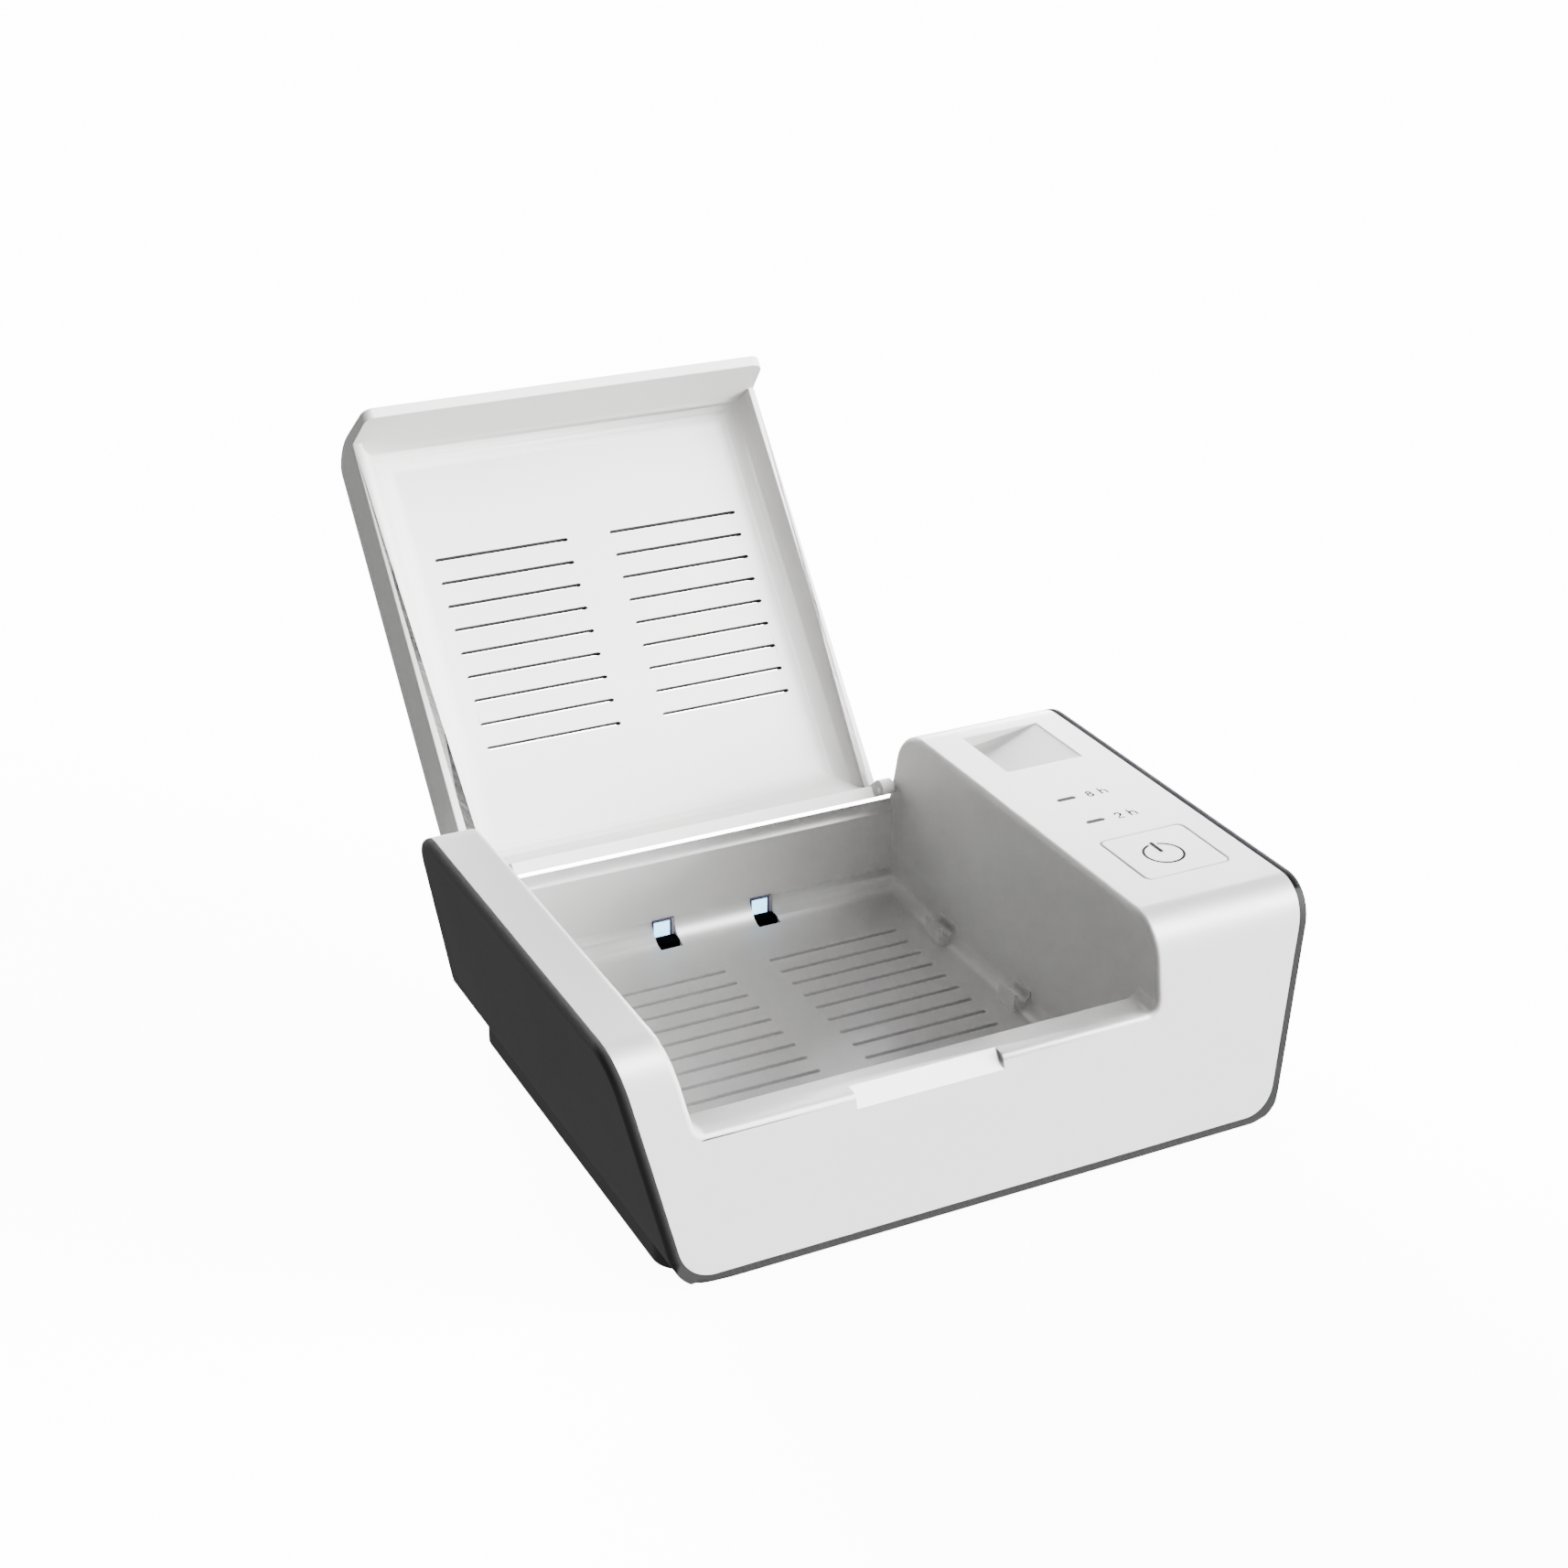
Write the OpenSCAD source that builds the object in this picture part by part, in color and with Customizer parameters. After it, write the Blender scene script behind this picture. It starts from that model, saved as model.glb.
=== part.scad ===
// Hearing aid dryer: a vented lid over a warm UV chamber, controls in the right-hand block.
// X runs to the right along the front, Y to the back and Z up, from the middle of the foot.

/* [Body] */
// Width of the white housing at its top
body_w = 125; // [122:1:130]
// Height of the white housing without cradle and foot
body_h = 38.2; // [37:0.1:42]
// Depth of the housing at its top, between the corners of its outline
body_d = 86.7; // [84:0.1:95]
// Lean of both sides, in degrees, inwards to the bottom
side_lean = 12; // [10:0.5:13]
// Lean of the front, in degrees, outwards to the bottom
front_lean = 9.5; // [8:0.5:11]
// Lean of the back, in degrees, outwards to the bottom
back_lean = 10.3; // [9:0.1:11]
// Radius of the front top edge
front_r = 8; // [6:0.5:9]
// Radius of the back top edge
back_r = 9.5; // [8:0.5:10]
// Radius of the housing's two bottom edges
corner_r = 5.9; // [5:0.1:7]
// Radius of the cradle's two bottom edges
cradle_r = 6.4; // [6:0.1:8]
// Radius of the bottom back edge
heel_r = 2.4; // [1.5:0.1:3]
// Wall of the housing
wall = 1.8; // [1.5:0.1:2]
// Thickness of the housing's top
top_t = 2; // [1.8:0.1:2.4]

/* [Cradle and foot] */
// Thickness of the dark cradle
shell_t = 1.6; // [1.4:0.1:2]
// Height of the foot under the cradle
foot_h = 3.4; // [3.2:0.1:5]
// Distance of the foot's ends from the housing's bottom front and back edges
foot_inset_y = 9; // [8:0.5:14]
// Distance of the foot's sides from the housing's bottom side edges
foot_inset_x = 0.2; // [0.1:0.1:4]
// Radius of the foot's corners
foot_r = 5; // [3:0.5:8]
// Thickness of the foot's floor
foot_t = 1.2; // [1:0.1:1.4]
// Radius of a rubber pad
pad_r = 4; // [3:0.5:4.5]
// Thickness of a rubber pad, which lies flush in the foot
pad_t = 0.8; // [0.5:0.1:0.9]

/* [Chamber] */
// Width of the left block at its top
left_w = 8.5; // [8:0.1:9.5]
// Width of the right control block at its top, beyond the fan's own width
right_spare = 12.8; // [12.5:0.1:14]
// Height of the chamber floor above the housing's bottom edge
floor_h = 3.3; // [3.2:0.1:4]
// Thickness of the chamber floor
floor_t = 1.4; // [1.2:0.1:1.6]
// Height of the front lip
lip_h = 23; // [21:0.1:24]
// Thickness of the front lip at its top
lip_t = 6.3; // [5.5:0.1:8]
// Radius of the mouth's corners on the lip
lip_r = 2.2; // [1.5:0.1:4]
// Height of the back wall
back_wall_h = 22; // [20:0.1:22]
// Distance of the chamber's back from the housing's bottom back edge
back_gap = 5.2; // [5.2:0.1:7]
// Radius of the chamber's edges along its floor
inner_r = 2.6; // [1:0.1:3]
// Radius between the chamber's floor and its back
cove_r = 4.5; // [3:0.5:6]
// Length of the finger notch in the lip
notch_l = 26.7; // [18:0.5:40]
// Height of the finger notch on the front face
notch_h = 2.4; // [1.5:0.1:3.5]
// Distance of the notch's middle from the mouth's left edge
notch_in = 40.6; // [38:0.1:42]
// Width of an aid rest
rest_w = 5.3; // [4:0.1:6]
// Distance between the fronts of the two aid rests
rest_pitch = 27; // [20:1:34]
// Side of an aid rest, which stands out from the wall as far as up from the floor
rest_size = 3.5; // [3:0.1:4]

/* [Vents] */
// Number of slot rows
vent_rows = 9; // [5:1:9]
// Distance from row to row
vent_pitch = 4.73; // [4:0.01:4.8]
// Length of a slot
vent_l = 27; // [18:0.5:27.5]
// Width of a slot
vent_w = 1; // [0.8:0.1:1.3]
// Distance between the two columns of slots
vent_gap = 8.8; // [8:0.1:10]
// Distance of the floor's slots from the housing's left top edge
vent_in = 56.2; // [55.5:0.1:57]
// Distance of the floor's first row behind the front top corner
vent_back = 34.1; // [33:0.1:36]
// Distance of the lid's slots from the housing's left top edge
lid_vent_in = 53.7; // [53:0.1:54.5]
// Distance of the lid's first row behind the front top corner
lid_vent_back = 24.6; // [23:0.1:27]

/* [Lid] */
// Play between the lid and the blocks at its sides
lid_play = 0.8; // [0.6:0.1:1.2]
// Thickness of the lid's panel
lid_t = 2; // [1.8:0.1:2.4]
// Thickness of the lid's side walls
lid_wall = 1.2; // [1.1:0.1:1.8]
// Thickness of the lid's front wall at its free edge
lid_front_t = 2.1; // [1.8:0.1:2.4]
// Growth of the front wall's thickness from its free edge to the panel
lid_draft = 1; // [0.5:0.1:1.5]
// Inner radius between the panel and the front wall
lid_front_r = 4.8; // [4:0.1:6.5]
// Thickness of the lid's rear wall
lid_rear_t = 2.2; // [1.9:0.1:2.4]
// Inner radius between the panel and the side walls
lid_inner_r = 7; // [4:0.5:8]
// Gap between the closed lid and the lip
lid_gap = 0.3; // [0.3:0.1:1]
// Height of the lid's side walls, from its top down
lid_side_h = 7.7; // [6:0.1:9]
// Angle to which the lid opens
lid_open = 130; // [110:1:131]
// Radius of a hinge pin
pin_r = 0.6; // [0.5:0.05:0.6]
// Radius of the lid's hinge hubs
hub_r = 2; // [1.8:0.1:2.1]
// Height of the hinge axis above the lip
hinge_up = 1.7; // [1.6:0.1:2.2]
// Distance of the hinge axis from the housing's back
hinge_in = 1.1; // [1.1:0.05:1.5]
// Width of a hinge ear
ear_w = 2.5; // [2:0.1:3]

/* [Controls] */
// Width of the power button
button_w = 16.7; // [14:0.1:17]
// Depth of the power button
button_d = 15.2; // [14:0.1:17]
// Corner radius of the power button
button_r = 1.2; // [0.8:0.1:2]
// Gap round the button
button_gap = 0.3; // [0.2:0.05:0.4]
// Travel of the button
button_travel = 0.6; // [0.3:0.1:0.6]
// Distance of the button's middle behind the front top corner
button_y = 21.6; // [20:0.1:23]
// Distance of the row of controls from the block's outer top edge
control_in = 14; // [13.5:0.1:14.5]
// Length of an indicator window
led_l = 3.7; // [2.5:0.1:5]
// Width of an indicator window
led_w = 0.7; // [0.5:0.1:1]
// Distance of the front indicator behind the front top corner
led_y = 36.6; // [35.5:0.1:38]
// Distance between the two indicators
led_pitch = 9.6; // [7:0.1:10]
// Width of the battery tray
tray_w = 16; // [12:0.1:17]
// Depth of the battery tray from front to back
tray_d = 16.3; // [12:0.1:17]
// Depth of the battery tray's low side
tray_h = 2.5; // [1.5:0.1:3]
// Distance of the tray's middle behind the front top corner
tray_y = 68.5; // [66:0.1:70]

/* [Inside] */
// Side of the square fan
fan_w = 17; // [15:0.5:17]
// Thickness of the fan
fan_t = 8; // [6:0.5:8]
// Blades of the fan
fan_blades = 7; // [5:1:9]
// Thickness of the boards
board_t = 1.2; // [0.8:0.1:1.6]
// Width of a UV window
uv_w = 4.5; // [4:0.1:5]
// Height of a UV window above the chamber floor
uv_h = 4.1; // [3.8:0.1:4.5]
// Distance between the UV windows
uv_pitch = 20.4; // [18:0.1:24]
// Clearance between fitted pieces that don't move
seat = 0.05; // [0.03:0.01:0.1]
// Radial clearance of a turning fit
run = 0.05; // [0.03:0.01:0.08]

/* [Hidden] */

white = [0.90, 0.90, 0.88];
graphite = [0.25, 0.25, 0.25];
black = [0.08, 0.08, 0.08];
green = [0.05, 0.32, 0.16];
steel = [0.75, 0.76, 0.78];
violet_blue = [0.75, 0.90, 0.97];
over = 1;
far = 80;
$fn = 64;

// Levels and outlines of the housing, with Z from its bottom edge
base_z = foot_h + shell_t;
front_out = body_h * tan(front_lean);
back_out = body_h * tan(back_lean);
y_front_low = -(body_d + front_out + back_out) / 2;
y_front_top = y_front_low + front_out;
y_back_top = y_front_top + body_d;
y_back_low = y_back_top + back_out;
x_left = -body_w / 2 + left_w;
x_right = body_w / 2 - fan_w - right_spare;
chamber_front = y_front_at(lip_h) + lip_t;
chamber_back = y_back_low - back_gap;

function y_front_at(z) = y_front_top - (body_h - z) * tan(front_lean);
function y_back_at(z) = y_back_top + (body_h - z) * tan(back_lean);
function half_w_at(z) = body_w / 2 - (body_h - z) * tan(side_lean);
// Left wall of the chamber, which leans as the housing's side does
function left_at(z) = x_left + (body_h - z) * tan(side_lean);

// Side outline moved out by d: front bottom, front top, back top, back bottom
function side_points(d, low, high) = [
  [y_front_at(low) - d / cos(front_lean), low],
  [y_front_at(high) - d / cos(front_lean), high],
  [y_back_at(high) + d / cos(back_lean), high],
  [y_back_at(low) + d / cos(back_lean), low]];
// Front outline moved out by d: bottom left, bottom right, top right, top left
function front_points(d, low, high) = [
  [-half_w_at(low) - d / cos(side_lean), low],
  [half_w_at(low) + d / cos(side_lean), low],
  [half_w_at(high) + d / cos(side_lean), high],
  [-half_w_at(high) - d / cos(side_lean), high]];
// Front view of the space between the blocks, moved in by d on both sides
function mouth_points(d, low, high) = [
  [left_at(low) + d / cos(side_lean), low],
  [x_right - d, low],
  [x_right - d, high],
  [left_at(high) + d / cos(side_lean), high]];

// Convex polygon whose corners are rounded, each by its own radius
function unit(v) = v / norm(v);
function prev_of(p, i) = p[(i + len(p) - 1) % len(p)];
function next_of(p, i) = p[(i + 1) % len(p)];
function half_angle(p, i) = let (u = unit(prev_of(p, i) - p[i]), v = unit(next_of(p, i) - p[i]))
  acos(max(-1, min(1, u * v))) / 2;
function arc_centre(p, i, r) = let (u = unit(prev_of(p, i) - p[i]), v = unit(next_of(p, i) - p[i]))
  p[i] + unit(u + v) * r / sin(half_angle(p, i));
function touch(p, i, r, q) = p[i] + unit(q - p[i]) * r / tan(half_angle(p, i));
function arc_points(p, i, r) = let (
    c = arc_centre(p, i, r),
    t = touch(p, i, r, prev_of(p, i)) - c,
    start = atan2(t[1], t[0]),
    u = p[i] - prev_of(p, i),
    v = next_of(p, i) - p[i],
    turn = sign(u[0] * v[1] - u[1] * v[0]) * (180 - 2 * half_angle(p, i)),
    steps = r > 3 ? 12 : 6)
  [for (k = [0:steps]) c + r * [cos(start + turn * k / steps), sin(start + turn * k / steps)]];
module round_poly(p, r) {
  polygon([for (i = [0:len(p) - 1]) each (r[i] > 0 ? arc_points(p, i, r[i]) : [p[i]])]);
}
module round_rect(w, d, r) {
  round_poly([[-w / 2, -d / 2], [w / 2, -d / 2], [w / 2, d / 2], [-w / 2, d / 2]], [r, r, r, r]);
}
module pill(l, w) {
  square([l - w, w], center = true);
  for (s = [-1, 1])
    translate([s * (l - w) / 2, 0]) circle(w / 2, $fn = 24);
}
// A side view (Y, Z) drawn out from x0 to x1, and a front view (X, Z) from y0 to y1
module along_x(x0, x1) {
  translate([x0, 0, 0]) rotate([90, 0, 90]) linear_extrude(x1 - x0) children();
}
module along_y(y0, y1) {
  translate([0, y1, 0]) rotate([90, 0, 0]) linear_extrude(y1 - y0) children();
}
module block(low, high) {
  translate(low) cube(high - low);
}
module on_body() {
  translate([0, 0, base_z]) children();
}

// Outer form of the housing, and the hollow inside it
module housing_form() {
  intersection() {
    along_x(-far, far)
      round_poly(side_points(0, 0, body_h), [0, front_r, back_r, heel_r]);
    along_y(-far, far)
      round_poly(front_points(0, 0, body_h), [corner_r, corner_r, 0, 0]);
  }
}
module housing_hollow() {
  intersection() {
    along_x(-far, far)
      round_poly(side_points(-wall, -over, body_h - top_t), [0, front_r - wall, back_r - wall, 0]);
    along_y(-far, far)
      polygon(front_points(-wall, -over, body_h - top_t));
  }
}
// Side view of the chamber, whose back wall is hollowed at its top for the lid's swing
relief_r = 4.3;
relief_in = 3;
relief_up = 0.3;
function chamber_side() = let (
    top = body_h + over,
    p = [[chamber_front, floor_h], [chamber_back, floor_h], [chamber_back, top],
      [chamber_front, top]],
    c = [chamber_back - relief_in, back_wall_h + relief_up],
    a0 = -acos(relief_in / relief_r),
    a1 = -asin(relief_up / relief_r))
  concat(arc_points(p, 0, inner_r), arc_points(p, 1, cove_r),
    [for (k = [0:8]) c + relief_r * [cos(a0 + (a1 - a0) * k / 8), sin(a0 + (a1 - a0) * k / 8)]],
    [[far, back_wall_h], [far, top], [chamber_front, top]]);
// Space between the two blocks: over the lip, in the chamber and over the back wall
module mouth_cut() {
  along_y(-far, chamber_front + over)
    round_poly(mouth_points(0, lip_h, body_h + over), [lip_r, lip_r, 0, 0]);
  intersection() {
    along_y(-far, far)
      round_poly(mouth_points(0, floor_h, body_h + over), [inner_r, inner_r, 0, 0]);
    along_x(-far, far) polygon(chamber_side());
  }
}
// What keeps the blocks' hollow away from the chamber
module chamber_keep() {
  along_y(-far, far)
    polygon(mouth_points(-wall, lip_h - top_t, body_h + over));
  intersection() {
    along_y(-far, far) polygon(mouth_points(-wall, floor_h - floor_t, body_h + over));
    block([-far, chamber_front - wall, 0], [far, chamber_back + wall, body_h + over]);
  }
}

// Finger notch, from the front face up to the lip
notch_x = left_at(lip_h) + notch_in;
notch_run = 2.7;
module notch_cut() {
  low = lip_h - notch_h;
  along_x(notch_x - notch_l / 2, notch_x + notch_l / 2)
    polygon([[y_front_at(low), low], [y_front_at(lip_h) + notch_run, lip_h + 0.02],
      [y_front_at(lip_h) + notch_run, lip_h + over], [y_front_at(0) - over, lip_h + over],
      [y_front_at(0) - over, low]]);
}

// Two columns of slots, in rows to the back
vent_x = vent_in - body_w / 2;
module vent_slots(x_mid, y_first, z0, z1) {
  translate([x_mid, y_first, z0]) linear_extrude(z1 - z0)
    for (row = [0:vent_rows - 1], s = [-1, 1])
      translate([s * (vent_gap + vent_l) / 2, row * vent_pitch]) pill(vent_l, vent_w);
}

// UV windows in the foot of the back wall
uv_x = vent_x + 0.5;
uv_front = chamber_back - 4.3;
module each_uv() {
  for (s = [-1, 1]) translate([uv_x + s * uv_pitch / 2, 0, 0]) children();
}
module uv_cut() {
  low = floor_h - floor_t - over;
  each_uv() block([-uv_w / 2, uv_front, low], [uv_w / 2, chamber_back + wall + over, floor_h + uv_h]);
}

// Controls on the right block's top
control_x = body_w / 2 - control_in;
button_mid = [control_x + (button_w - tray_w) / 2, y_front_top + button_y];
led_x = control_x - tray_w / 4;
function led_at(i) = [led_x, y_front_top + led_y + i * led_pitch];
tray_mid = [control_x + 0.2, y_front_top + tray_y];
module tray_cut() {
  along_y(tray_mid[1] - tray_d / 2, tray_mid[1] + tray_d / 2)
    polygon([[tray_mid[0] - tray_w / 2, body_h - tray_h], [tray_mid[0] + tray_w / 2, body_h - 0.1],
      [tray_mid[0] + tray_w / 2, body_h + over], [tray_mid[0] - tray_w / 2, body_h + over]]);
}
module tray_floor() {
  block([tray_mid[0] - tray_w / 2 - wall, tray_mid[1] - tray_d / 2 - wall, body_h - tray_h - top_t],
    [tray_mid[0] + tray_w / 4, tray_mid[1] + tray_d / 2 + wall, body_h - 0.5]);
}

// Base screws and the bosses that take them
screw_r = 1.2;
head_r = 2.2;
head_t = 1.3;
screw_up = 8;
boss_r = 2.6;
boss_in = 3.9;
boss_y = 29;
screw_spots = [for (sx = [-1, 1], sy = [-1, 1]) [sx * (half_w_at(0) - boss_in), sy * boss_y]];
module at_screws() {
  for (p = screw_spots) translate([p[0], p[1], 0]) children();
}

// Foot, whose thick edges carry the screws and the pads
foot_z0 = -shell_t - foot_h;
foot_w = 2 * (half_w_at(0) - foot_inset_x);
foot_d = y_back_low - y_front_low - 2 * foot_inset_y;
foot_edge_x = 9.5;
foot_edge_y = 7;
pad_spots = [for (sx = [-1, 1], sy = [-1, 1]) [sx * (foot_w / 2 - 10), sy * (foot_d / 2 - 6)]];

// Hinge axis and its bosses in the blocks
hinge_z = lip_h + hinge_up;
hinge_y = y_back_at(hinge_z) - hinge_in;
pin_out = ear_w + lid_play;
pin_in = 3.4;
x_hinge_left = left_at(hinge_z);
hinge_boss_r = 2.8;
module hinge_boss(x0, x1) {
  intersection() {
    along_x(x0, x1) translate([hinge_y - 1, hinge_z]) circle(hinge_boss_r);
    along_x(x0, x1) polygon(side_points(0, 0, body_h));
  }
}

// Inlet at the back of the right block, with the air intake's slots above it
usb_w = 8.9;
usb_t = 3.2;
usb_l = 7;
usb_x = x_right + 11;
usb_z = 8;
usb_y = y_back_at(usb_z) - 1.2;
intake_up = 10.5;
intake_l = 9;
intake_w = 1.2;
intake_pitch = 2.6;
module intake_slots() {
  for (i = [-2:2]) along_y(usb_y - 10, far)
    translate([usb_x + 1.5 + i * intake_pitch, usb_z + intake_up]) rotate(90) pill(intake_l, intake_w);
}

module outer_cradle() {
  color(graphite) on_body() difference() {
    intersection() {
      along_x(-far, far)
        round_poly(side_points(0, -shell_t, body_h), [0, front_r, back_r, heel_r + 0.4]);
      along_y(-far, far)
        round_poly(front_points(shell_t, -shell_t, body_h),
          [cradle_r, cradle_r, 0, 0]);
    }
    along_y(-far, far)
      round_poly(front_points(seat, -seat, body_h + over),
        [corner_r, corner_r, 0, 0]);
    // Way down into the hollow foot
    translate([0, 0, -shell_t - over]) linear_extrude(shell_t + 2 * over)
      round_rect(foot_w - 2 * foot_edge_x + 1, foot_d - 2 * foot_edge_y + 2, foot_r);
    at_screws() translate([0, 0, -shell_t - over]) cylinder(h = shell_t + 2 * over, r = screw_r + 0.2);
  }
}

module upper_housing() {
  color(white) on_body() {
    difference() {
      union() {
        difference() {
          housing_form();
          difference() {
            housing_hollow();
            chamber_keep();
            tray_floor();
          }
        }
        intersection() {
          housing_form();
          at_screws() cylinder(h = screw_up + 3, r = boss_r);
        }
        hinge_boss(x_right, x_right + pin_in + wall);
        hinge_boss(x_hinge_left - pin_in - wall, x_hinge_left);
      }
      mouth_cut();
      notch_cut();
      tray_cut();
      uv_cut();
      uv_board_room();
      vent_slots(vent_x, y_front_top + vent_back, floor_h - floor_t - over, floor_h + over);
      translate([button_mid[0], button_mid[1], body_h - top_t - over])
        linear_extrude(top_t + 2 * over)
        round_rect(button_w + 2 * button_gap, button_d + 2 * button_gap, button_r + button_gap);
      for (i = [0, 1]) translate([led_at(i)[0], led_at(i)[1], body_h - top_t - over])
        linear_extrude(top_t + 2 * over) pill(led_l + 2 * seat, led_w + 2 * seat);
      along_x(x_right - over, x_right + pin_in)
        translate([hinge_y, hinge_z]) circle(pin_r + seat, $fn = 32);
      along_x(x_hinge_left - pin_in, x_hinge_left + over)
        translate([hinge_y, hinge_z]) circle(pin_r + seat, $fn = 32);
      at_screws() translate([0, 0, -over]) cylinder(h = screw_up + over, r = screw_r + seat);
      along_y(usb_y - 4, far) translate([usb_x, usb_z]) pill(usb_w + 2 * seat, usb_t + 2 * seat);
      intake_slots();
    }
    aid_rests();
  }
}

// U-shaped rests along the chamber's right wall
rest_y = y_front_top + 36.1;
groove_r = 1.3;
groove_in = 1.5;
groove_h = 1.8;
module aid_rests() {
  for (i = [0, 1])
    along_y(rest_y + i * rest_pitch, rest_y + i * rest_pitch + rest_w) difference() {
      translate([x_right - rest_size, floor_h]) square(rest_size);
      translate([x_right - groove_in, floor_h + rest_size - groove_h + groove_r]) {
        circle(groove_r, $fn = 32);
        translate([-groove_r, 0]) square([2 * groove_r, over]);
      }
    }
}

edge_z = lip_h + lid_gap;
module lid_form() {
  intersection() {
    along_x(-far, far)
      round_poly(side_points(0, edge_z, body_h), [0, front_r, back_r, 0]);
    along_y(-far, far)
      round_poly(mouth_points(lid_play, edge_z, body_h), [lip_r, lip_r, 0.8, 0.8]);
  }
}
// Inside of the lid in side view, down to a level
module lid_inside(low) {
  high = body_h - lid_t;
  function front_at(z) = y_front_at(z) + lid_front_t + lid_draft * (z - edge_z) / (high - edge_z);
  round_poly([[front_at(low), low], [front_at(high), high],
    [y_back_at(high) - lid_rear_t, high], [y_back_at(low) - lid_rear_t, low]],
    [0, lid_front_r, back_r - lid_rear_t, 0]);
}
slot_end = 4.5;
module lid_closed() {
  difference() {
    union() {
      difference() {
        lid_form();
        intersection() {
          along_x(-far, far) lid_inside(0);
          along_y(-far, far)
            round_poly(mouth_points(lid_play + lid_wall, 0, body_h - lid_t),
              [0, 0, lid_inner_r, lid_inner_r]);
        }
        // The side walls end well above the front and rear walls
        intersection() {
          along_x(-far, far) lid_inside(0);
          block([-far, -far, 0], [far, far, body_h - lid_side_h]);
        }
        // The rear wall ends short of both sides, where the ears are
        for (x = [x_hinge_left + lid_play, x_right - lid_play - slot_end])
          block([x - over * (x < 0 ? 3 : 0), hinge_y - 4, 0],
            [x + slot_end + (x < 0 ? 0 : 3), far, body_h - lid_side_h]);
      }
      // Hinge ears
      ear(x_hinge_left + lid_play);
      ear(x_right - lid_play - ear_w);
    }
    along_x(-far, far) translate([hinge_y, hinge_z]) circle(pin_r + run, $fn = 32);
    vent_slots(lid_vent_in - body_w / 2, y_front_top + lid_vent_back, body_h - lid_t - over,
      body_h + over);
  }
}
module ear(x) {
  intersection() {
    along_x(x, x + ear_w) union() {
      translate([hinge_y, hinge_z]) circle(hub_r);
      translate([hinge_y - hub_r, hinge_z]) square([2 * hub_r, body_h - lid_side_h - hinge_z + 1.5]);
    }
    along_x(-far, far) round_poly(side_points(0, 0, body_h), [0, front_r, back_r, 0]);
    along_y(-far, far) polygon(mouth_points(lid_play, 0, body_h));
  }
}
module lid() {
  color(white) on_body() translate([0, hinge_y, hinge_z]) rotate([-lid_open, 0, 0])
    translate([0, -hinge_y, -hinge_z]) lid_closed();
}

module hinge_pins() {
  color(steel) on_body() {
    along_x(x_right - pin_out, x_right + pin_in - 0.1)
      translate([hinge_y, hinge_z]) circle(pin_r, $fn = 32);
    along_x(x_hinge_left - pin_in + 0.1, x_hinge_left + pin_out)
      translate([hinge_y, hinge_z]) circle(pin_r, $fn = 32);
  }
}

module base_foot() {
  color(black) on_body() difference() {
    translate([0, 0, foot_z0]) linear_extrude(-shell_t - foot_z0) round_rect(foot_w, foot_d, foot_r);
    translate([0, 0, foot_z0 + foot_t]) linear_extrude(foot_h)
      round_rect(foot_w - 2 * foot_edge_x, foot_d - 2 * foot_edge_y, foot_r - 2);
    at_screws() {
      translate([0, 0, foot_z0 - over]) cylinder(h = head_t + 0.3 + over, r = head_r + 0.3);
      translate([0, 0, foot_z0 - over]) cylinder(h = foot_h + over, r = screw_r + 0.2);
    }
    for (p = pad_spots)
      translate([p[0], p[1], foot_z0 - over]) cylinder(h = over + pad_t, r = pad_r + seat);
  }
}
module foot_pads() {
  color([0.15, 0.15, 0.15]) on_body() for (p = pad_spots)
    translate([p[0], p[1], foot_z0]) cylinder(h = pad_t - seat, r = pad_r);
}
module base_screws() {
  color(steel) on_body() at_screws() difference() {
    union() {
      translate([0, 0, foot_z0 + 0.3]) cylinder(h = head_t - seat, r = head_r);
      translate([0, 0, foot_z0 + 0.3]) cylinder(h = screw_up - foot_z0 - 0.8, r = screw_r);
    }
    // Cross recess
    for (a = [0, 90]) rotate([0, 0, a])
      translate([-1.3, -0.3, foot_z0 - over]) cube([2.6, 0.6, over + 1]);
  }
}

cap_t = 1.8;
flange = 1;
flange_t = 1.4;
skirt_low = body_h - top_t - 1.8;
skirt_t = 1.2;
stem_r = 1.6;
board_z = body_h - 14.2;
switch_w = 6;
switch_h = 4.3;
plunger_h = 0.9;
stem_low = board_z + board_t + switch_h + plunger_h + button_travel + 0.05;
module power_button() {
  color(white) on_body() translate([button_mid[0], button_mid[1], 0]) {
    translate([0, 0, body_h - cap_t]) linear_extrude(cap_t) round_rect(button_w, button_d, button_r);
    // Skirt with a rim that keeps the cap in its opening
    difference() {
      union() {
        translate([0, 0, skirt_low]) linear_extrude(body_h - cap_t - skirt_low)
          round_rect(button_w, button_d, button_r);
        translate([0, 0, skirt_low]) linear_extrude(flange_t)
          round_rect(button_w + 2 * flange, button_d + 2 * flange, button_r);
      }
      translate([0, 0, skirt_low - over]) linear_extrude(body_h - cap_t - skirt_low + over)
        round_rect(button_w - 2 * skirt_t, button_d - 2 * skirt_t, button_r);
    }
    translate([0, 0, stem_low]) cylinder(h = body_h - cap_t - stem_low, r = stem_r);
  }
}
module push_switch() {
  color([0.2, 0.2, 0.2]) on_body() translate([button_mid[0], button_mid[1], board_z + board_t]) {
    translate([-switch_w / 2, -switch_w / 2, 0]) cube([switch_w, switch_w, switch_h]);
    cylinder(h = switch_h + plunger_h, r = 1.7);
  }
}
board_x0 = x_right + 3;
board_x1 = board_x0 + 19.4;
board_y0 = y_front_top + 10;
board_y1 = board_y0 + 44;
module main_board() {
  color(green) on_body() block([board_x0, board_y0, board_z], [board_x1, board_y1, board_z + board_t]);
}
module control_chip() {
  color(black) on_body()
    block([board_x0 + 6, board_y1 - 20, board_z - 1.2], [board_x0 + 13, board_y1 - 13, board_z]);
}
led_h = 1.4;
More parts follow.
